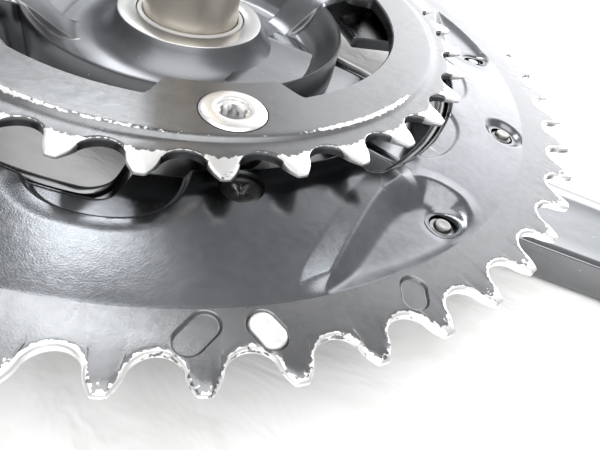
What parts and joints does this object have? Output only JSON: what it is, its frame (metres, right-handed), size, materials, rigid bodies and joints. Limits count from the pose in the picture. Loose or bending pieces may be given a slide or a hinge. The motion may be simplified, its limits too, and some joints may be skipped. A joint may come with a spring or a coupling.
{
  "type": "bicycle crankset",
  "caption": "Road double crankset: forged drive arm with four-armed spider, hollow steel spindle, two chainrings and a clamp-on left arm.",
  "frame": {"origin": "on the spindle axis, at the outer face of the drive-side arm, which is the face the crankset lies on", "axes": "+Z along the spindle towards the bicycle and the left arm, +X along the drive-side arm to its pedal eye, +Y completes the frame"},
  "size_m": [0.372, 0.2062, 0.147],
  "materials": {
    "polished_arm": "polished forging",
    "black_anodised": "satin black anodising",
    "cover_black": "satin black anodising",
    "spindle_steel": "ground steel, lightly stained",
    "bolt_silver": "bright plated",
    "dark_steel": "blackened",
    "seal_rubber": "matte",
    "black_plastic": "matte"
  },
  "bodies": {
    "crank": {"drive_arm": "polished_arm", "spindle": "spindle_steel", "drive_end_cap": "black_plastic", "drive_seal": "seal_rubber", "big_ring": "black_anodised", "big_ring_cover": "cover_black", "small_ring": "black_anodised", "ring_bolt_1": "bolt_silver", "ring_bolt_2": "bolt_silver", "ring_bolt_3": "bolt_silver", "ring_bolt_4": "bolt_silver", "ring_nut_1": "dark_steel", "ring_nut_2": "dark_steel", "ring_nut_3": "dark_steel", "ring_nut_4": "dark_steel", "cover_screw_1": "dark_steel", "cover_screw_2": "dark_steel", "cover_screw_3": "dark_steel", "cover_screw_4": "dark_steel", "cover_rivet_1": "dark_steel", "cover_rivet_2": "dark_steel", "cover_rivet_3": "dark_steel", "cover_rivet_4": "dark_steel", "cover_rivet_5": "dark_steel", "cover_rivet_6": "dark_steel", "shift_ramp_1": "bolt_silver", "shift_ramp_2": "bolt_silver", "chain_catch_pin": "bolt_silver", "left_arm": "polished_arm", "left_seal": "seal_rubber", "pinch_bolt_1": "bolt_silver", "pinch_bolt_2": "bolt_silver", "stopper_pivot": "bolt_silver"},
    "cap_ring": {"cap_o_ring": "seal_rubber"},
    "cap": {"preload_cap": "black_plastic"},
    "stopper": {"stopper_plate": "black_plastic"}
  },
  "joints": [
    {"name": "cap_travel", "type": "slide", "parent": "crank", "child": "cap_ring", "axis": [0, 0, 1], "range_m": [0, 0.002]},
    {"name": "cap_turn", "type": "hinge", "parent": "cap_ring", "child": "cap", "pos_m": [0, 0, 0.143], "axis": [0, 0, 1], "range_deg": [0, 720]},
    {"name": "stopper_lift", "type": "hinge", "parent": "crank", "child": "stopper", "pos_m": [-0.0315, 0, 0.1433], "axis": [0, -1, 0], "range_deg": [0, 80]}
  ],
  "couplings": [
    {"joint": "cap_travel", "follows": "cap_turn", "m_per_rad": 0.00015915}
  ]
}
